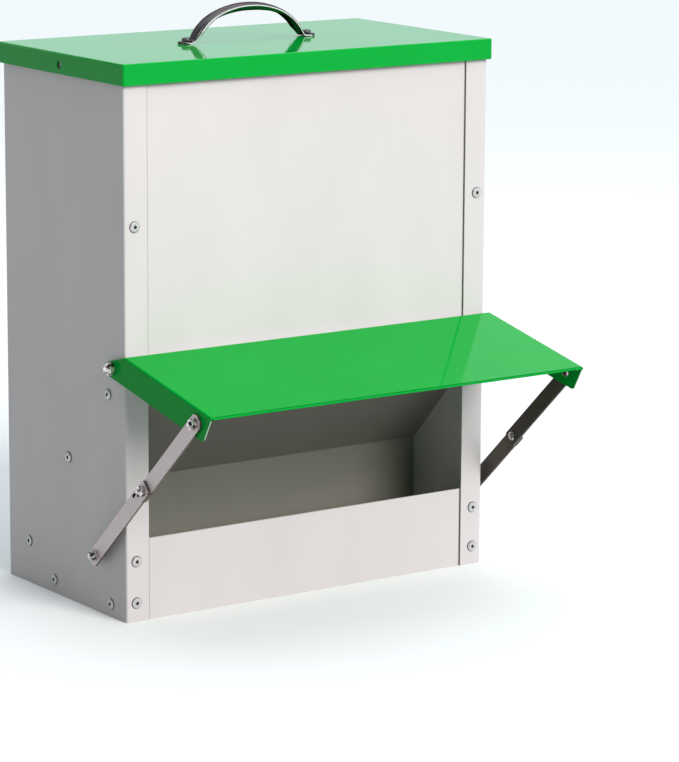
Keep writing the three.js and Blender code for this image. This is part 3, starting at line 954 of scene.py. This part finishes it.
def make_handle():
    lid_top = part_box("lid_cover")[1].z
    left = [(x * MM, z * MM) for x, z in smooth_path(BOW, 3)]
    path = left + [(-x, z) for x, z in left[-2::-1]]
    foot_middle = middle("left_handle_screw").x
    foot_radius = 6.0 * MM
    half_width, leg_half_width = 6.0 * MM, 4.6 * MM
    vertices = []
    for i, (x, z) in enumerate(path):
        before, after = path[max(i - 1, 0)], path[min(i + 1, len(path) - 1)]
        tangent = Vector((after[0] - before[0], 0, after[1] - before[1])).normalized()
        normal = Vector((-tangent.z, 0, tangent.x))
        from_foot = abs(x) + foot_middle
        climb = min(1.0, max(0.0, (z - 2.4 * MM) / (6 * MM)))
        if from_foot > -1.5 * MM:
            half = math.sqrt(max(foot_radius ** 2 - from_foot ** 2, (0.6 * MM) ** 2))
        else:
            half = leg_half_width + (half_width - leg_half_width) * climb
        grip = max(0.0, 1 - (abs(x) / (30 * MM)) ** 2)
        depth = FOOT_THICKNESS + LEG_DEPTH * climb
        depth += (GRIP_DEPTH - FOOT_THICKNESS - LEG_DEPTH) * grip
        crown = 0.9 * MM * climb
        tuck = 2.6 * MM * grip * climb
        for y, height in bow_section(half, depth, crown, tuck):
            point = Vector((x, y, lid_top + z)) + normal * height
            vertices.append(point)
    columns = len(bow_section(half_width, GRIP_DEPTH, 0, 0))
    faces = ring_faces(len(path), columns)
    faces.append(tuple(range(columns))[::-1])
    faces.append(tuple(range(len(vertices) - columns, len(vertices))))
    piece = new_piece("lid_handle_bow", vertices, faces, 50)
    recalculate(piece)
    finish_shading(piece, 50)
    # A painted highlight on the upright faces along both edges of the bow.
    for face in piece.data.polygons:
        on_edge = face.index % columns in HIGHLIGHT_COLUMNS and abs(face.center.x) < HIGHLIGHT_SPAN
        face.material_index = 1 if on_edge else 0
    stand_for(piece, "lid_handle", "chrome", "chrome", "chrome_highlight_edge")


# ---- Lid ----

ENAMEL_EASE = 0.12 * MM  # of the lid's and the hood's cut edges
LID_HOLE, LID_HOLE_DROP = 2.75 * MM, 8.6 * MM  # its radius, and how far it is below the top


def rounded_rectangle(half_x, half_y, radius):
    points = []
    for start, sx, sy in ((0, 1, 1), (90, -1, 1), (180, -1, -1), (270, 1, -1)):
        centre = (sx * (half_x - radius), sy * (half_y - radius))
        points += arc(centre, radius, start, start + 90, 8)
    return points


def make_lid():
    """A folded pan: rounded top edge, skirt all round, a hole in each side and softened corners."""
    low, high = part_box("lid_cover")
    bend, corner, edge = 1.1 * MM, 1.8 * MM, 0.2 * MM
    rear_corner = 4 * MM
    outer = [(bend, high.z)]
    outer += [(bend - r, z) for r, z in arc((0, high.z - bend), bend, 90, 0, 6)[1:]]
    inner_bend = bend - SHEET
    inner = [(bend - r, z) for r, z in arc((0, high.z - bend), inner_bend, 0, 90, 4)]
    profile = outer + [(0, low.z + edge), (edge, low.z), (SHEET - edge, low.z), (SHEET, low.z + edge)]
    profile += inner
    vertices = []
    for inset, z in profile:
        ring = rounded_rectangle(high.x - inset, high.y - inset, corner - inset)
        vertices += [(x, y, z) for x, y in ring]
    columns = len(rounded_rectangle(1, 1, 0.1))
    faces = ring_faces(len(profile), columns)
    faces.append(tuple(range(columns)))
    faces.append(tuple(range(len(vertices) - columns, len(vertices)))[::-1])
    piece = new_piece("lid_cover_pan", vertices, faces)
    recalculate(piece)
    hole = drill(0, high.z - LID_HOLE_DROP, LID_HOLE)
    rounding = [(high.y + MM, low.z - MM), (high.y + MM, low.z + rear_corner)]
    rounding += arc((high.y - rear_corner, low.z + rear_corner), rear_corner, 0, -90, 8)
    rounding += [(high.y - rear_corner, low.z - MM)]
    carve(piece, [hole, prism("rounding", rounding, "x", -1, 1)])
    ease_edges(piece, ENAMEL_EASE)
    flatten_faces(piece)
    stand_for(piece, "lid_cover", "green_enamel", "lid")


# ---- Rain hood ----

HOOD_SLOPE = math.radians(11.5)
HOOD_LENGTH = 109.5 * MM
EAR_DEPTH = 19.6 * MM
ROLL = 1.0 * MM  # outside radius of the rolled front edge
HEM = 7 * MM
HOOD_BEND = 1.5 * MM  # outside radius between the plate and its ears


def hood_back():
    """The upper rear edge of the hood's plate, behind and above its pivot."""
    pivot = middle("left_hood_bolt")
    return pivot.y - 15.9 * MM, pivot.z + 10 * MM


def on_hood(u, v):
    """A point of the side view: u forwards from the plate's rear edge, v above its upper face."""
    y, z = hood_back()
    y -= u * math.cos(HOOD_SLOPE) + v * math.sin(HOOD_SLOPE)
    z += -u * math.sin(HOOD_SLOPE) + v * math.cos(HOOD_SLOPE)
    return y, z


def ear_outline():
    """The hood's side view: the plate on top, and the ear below it, round the pivot and forwards."""
    front = HOOD_LENGTH
    outline = [(0, 0), (-19, -9.6)]
    outline += [(-21.8, -11.6), (-23.8, -13.7), (-24.7, -16.0), (-24.4, -18.0), (-22.9, -19.2)]
    outline = [(u * MM, v * MM) for u, v in outline]
    outline.append((-20.4 * MM, -EAR_DEPTH))
    corner = 3.6 * MM
    outline += arc((front - 9.2 * MM, -EAR_DEPTH + corner), corner, -90, -12, 8)
    outline += [(front - 1.0 * MM, -2.6 * MM), (front - 0.3 * MM, -1.2 * MM), (front - 0.3 * MM, 0)]
    return [on_hood(u, v) for u, v in outline]


def hood_channel(span):
    """The plate and both ears in one folded strip, seen from the front, before the ears are cut."""
    bend = HOOD_BEND
    low = -30 * MM
    outer = [(-span, low)] + arc((-span + bend, -bend), bend, 180, 90, 6)
    outer += arc((span - bend, -bend), bend, 90, 0, 6) + [(span, low)]
    inside = bend - SHEET
    inner = [(span - SHEET, low)] + arc((span - bend, -bend), inside, 0, 90, 4)
    inner += arc((-span + bend, -bend), inside, 90, 180, 4) + [(-span + SHEET, low)]
    channel = prism("rain_hood_sheet", outer + inner, "y", -0.2, 0.06)
    y, z = hood_back()
    move(channel, Matrix.Translation((0, y, z)) @ Matrix.Rotation(HOOD_SLOPE, 4, "X"))
    return channel


def rolled_edge(half):
    """The plate's front edge, rolled under and pressed back against it."""
    front = HOOD_LENGTH - ROLL
    section = arc((front, -ROLL), ROLL, 90, -90, 10)
    section += [(HOOD_LENGTH - HEM, -2 * ROLL), (HOOD_LENGTH - HEM, -2 * ROLL + SHEET)]
    section += arc((front, -ROLL), ROLL - SHEET, -90, 90, 6)
    section += [(front - 2 * MM, -SHEET), (front - 2 * MM, -0.04 * MM)]
    return prism("hem", [on_hood(u, v) for u, v in section], "x", -half, half)


def pivot_hole(node, radius):
    spot = middle(node)
    return drill(spot.y, spot.z, radius)


def make_hood():
    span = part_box("rain_hood")[1].x
    piece = hood_channel(span)
    carve(piece, [prism("outline", ear_outline(), "x", -1, 1)], "INTERSECT")
    behind = [on_hood(0, 0.01), on_hood(0, -0.004), on_hood(-0.04, -0.004), on_hood(-0.04, 0.01)]
    ahead = HOOD_LENGTH - ROLL
    tip = [on_hood(ahead, 0.01), on_hood(ahead, -0.002), on_hood(ahead + 0.02, -0.002)]
    tip.append(on_hood(ahead + 0.02, 0.01))
    inside = span - HOOD_BEND
    peep = drill(*on_hood(HOOD_LENGTH - 5.5 * MM, -4.2 * MM), 0.7 * MM, 16)
    carve(piece, [
        prism("behind", behind, "x", -inside, inside),
        prism("tip", tip, "x", -inside, inside),
        pivot_hole("left_hood_bolt", 2.8 * MM),
        pivot_hole("left_ear_screw", 2.3 * MM),
        peep,
    ])
    merge(piece, [rolled_edge(inside)])
    recalculate(piece)
    finish_shading(piece)
    ease_edges(piece, ENAMEL_EASE)
    flatten_faces(piece)
    # The ears' front-facing edges get the painted highlight.
    for face in piece.data.polygons:
        on_ear = abs(face.center.x) > span - SHEET + 0.1 * MM
        below_plate = face.center.z < hood_back()[1] - 25 * MM
        face.material_index = 1 if on_ear and below_plate and face.normal.y < -0.8 else 0
    stand_for(piece, "rain_hood", "green_enamel", "hood", "ear_edge_highlight")


# ---- Studio ----

def make_floor():
    size = 30
    floor = new_piece(
        "studio_floor",
        [(-size, -size, 0), (size, -size, 0), (size, size, 0), (-size, size, 0)],
        [(0, 1, 2, 3)],
    )
    floor.data.materials.append(floor_material())


def make_world():
    """A pale room, bright to the right and behind, and dark to the left."""
    world = bpy.data.worlds.new("studio")
    bpy.context.scene.world = world
    world.use_nodes = True
    nodes, links = world.node_tree.nodes, world.node_tree.links
    coordinates = nodes.new("ShaderNodeTexCoord")
    towards = nodes.new("ShaderNodeVectorMath")
    towards.operation = "DOT_PRODUCT"
    towards.inputs[1].default_value = (0.9, 0.2, 0.38)
    span = nodes.new("ShaderNodeMapRange")
    span.interpolation_type = "SMOOTHSTEP"
    span.inputs["From Min"].default_value = -0.15
    span.inputs["From Max"].default_value = 0.55
    span.inputs["To Min"].default_value = 0.24
    span.inputs["To Max"].default_value = 1.0
    links.new(coordinates.outputs["Generated"], towards.inputs[0])
    links.new(towards.outputs["Value"], span.inputs["Value"])
    links.new(span.outputs["Result"], nodes["Background"].inputs["Strength"])
    nodes["Background"].inputs["Color"].default_value = (0.82, 0.935, 1, 1)


def direction(azimuth, elevation):
    """From the feeder to a light. Azimuth 0 is in front of it, and 90 to its right."""
    a, e = math.radians(azimuth), math.radians(elevation)
    return Vector((math.sin(a) * math.cos(e), -math.cos(a) * math.cos(e), math.sin(e)))


def make_light(name, azimuth, elevation, distance, width, height, power):
    """A softbox that faces the feeder."""
    away = direction(azimuth, elevation)
    low, high = CAD_BOX
    light = bpy.data.lights.new(name, "AREA")
    light.shape = "RECTANGLE"
    light.size = width
    light.size_y = height
    light.energy = power
    lamp = bpy.data.objects.new(name, light)
    lamp.location = (low + high) / 2 + away * distance
    lamp.visible_camera = False
    lamp.rotation_mode = "QUATERNION"
    lamp.rotation_quaternion = away.to_track_quat("Z", "Y")
    bpy.context.scene.collection.objects.link(lamp)


def make_key(azimuth, elevation, spread, strength):
    """A broad, distant, soft light that mirrored rays miss, so that the lid stays green from behind."""
    away = direction(azimuth, elevation)
    light = bpy.data.lights.new("key", "SUN")
    light.angle = math.radians(spread)
    light.energy = strength
    light.color = (1, 0.964, 0.955)
    lamp = bpy.data.objects.new("key", light)
    lamp.visible_glossy = False
    lamp.rotation_mode = "QUATERNION"
    lamp.rotation_quaternion = away.to_track_quat("Z", "Y")
    bpy.context.scene.collection.objects.link(lamp)


def make_camera():
    """A long lens from the front left, a little above the lid."""
    yaw, pitch, roll = (math.radians(d) for d in (-34.85, 11.67, 0.337))
    data = bpy.data.cameras.new("camera")
    data.sensor_width = 36
    data.lens = 167.45
    forward = Vector((
        -math.sin(yaw) * math.cos(pitch), math.cos(yaw) * math.cos(pitch), -math.sin(pitch),
    ))
    level = Vector((math.cos(yaw), math.sin(yaw), 0))
    upright = level.cross(forward)
    right = level * math.cos(roll) + upright * math.sin(roll)
    up = upright * math.cos(roll) - level * math.sin(roll)
    aim = Vector((22.4, -83.4, 149.3)) * MM
    place = aim - forward * 2.470
    camera = bpy.data.objects.new("camera", data)
    turn = Matrix((right, up, -forward)).transposed().to_4x4()
    camera.matrix_world = Matrix.Translation(place) @ turn
    bpy.context.scene.collection.objects.link(camera)
    bpy.context.scene.camera = camera
    data.clip_start, data.clip_end = 0.1, 100


def make_studio():
    make_camera()
    make_floor()
    make_world()
    make_key(8, 28, 33, 2.8)
    make_light("overhead", 30, 85, 2.0, 1.5, 1.5, 5)
    make_light("front_strip", -12, 45, 1.25, 0.35, 0.8, 2.0)
    make_light("rear_softbox", 145, 36, 2.0, 1.3, 0.9, 3.2)
    make_light("left_glint", -148, 14, 1.6, 0.1, 0.4, 0.45)
    make_light("left_strip", -78, 18, 1.8, 0.1, 1.0, 0.85)
    make_light("left_rear_strip", -118, 45, 1.8, 0.1, 1.0, 0.8)
    scene = bpy.context.scene
    scene.view_settings.view_transform = "Standard"
    scene.view_settings.look = "None"
    scene.view_settings.exposure = 0
    scene.view_settings.gamma = 1


# ---- The whole feeder ----

dress_housing()
dress_washers()
make_rivets()
for each_side in SIDES:
    make_side_fasteners(each_side)
    make_ear_joint(each_side)
    make_handle_fasteners(each_side)
    make_stays(each_side)
make_handle()
make_lid()
make_hood()
make_studio()
